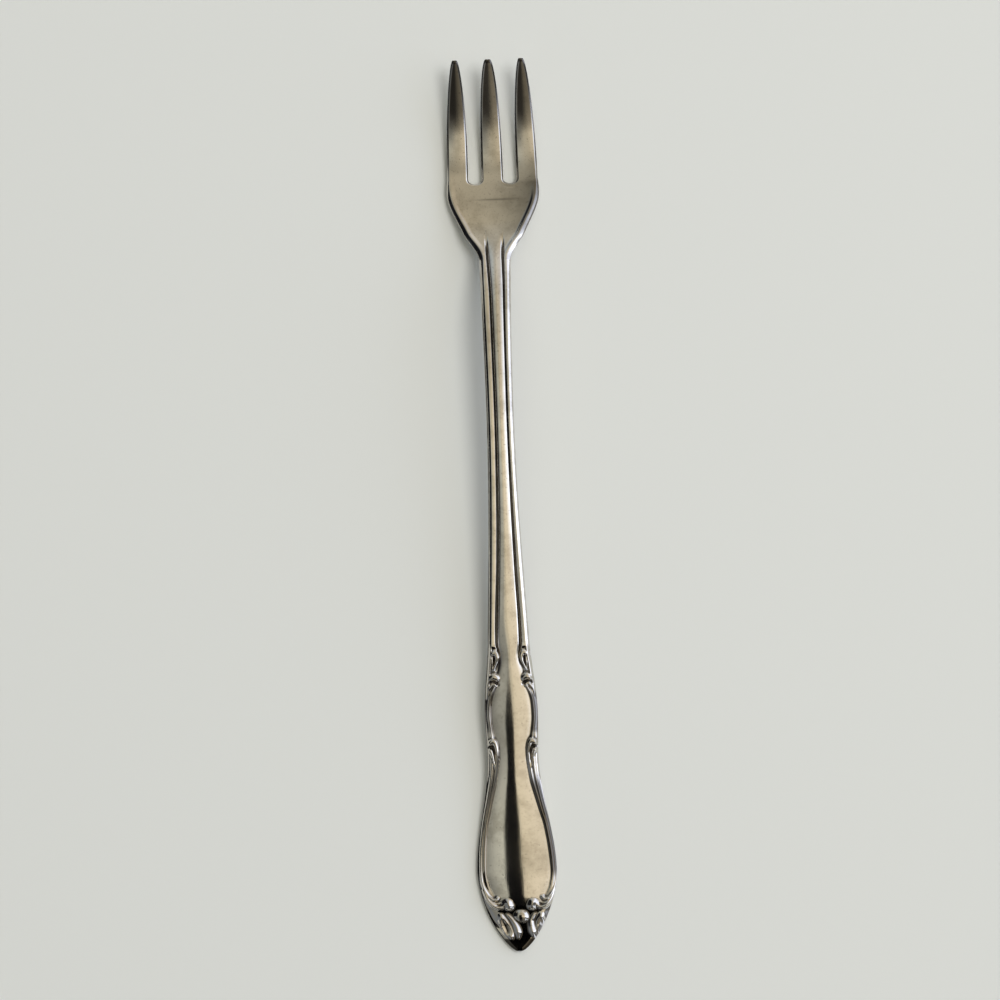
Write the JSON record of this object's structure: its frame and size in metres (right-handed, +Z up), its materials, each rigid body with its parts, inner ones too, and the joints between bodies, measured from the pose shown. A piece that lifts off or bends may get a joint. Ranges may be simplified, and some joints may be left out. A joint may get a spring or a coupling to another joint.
{
  "type": "oyster fork",
  "caption": "Slim oyster fork with short pointed tines, a ribbed stem and a panelled handle that ends in a scrolled point.",
  "frame": {"origin": "on the surface the fork lies on, on its centre line, half-way along its length", "axes": "+Y from the point of the handle to the tips of the tines, +Z up out of the fork's face, +X across it to the right"},
  "size_m": [0.0158, 0.152, 0.0092],
  "materials": {
    "steel": "polished steel worn satin, darkened in the grooves"
  },
  "bodies": {
    "root": {"tine_left": "steel", "tine_middle": "steel", "tine_right": "steel", "head": "steel", "stem": "steel", "handle": "steel", "finial": "steel"}
  },
  "joints": []
}
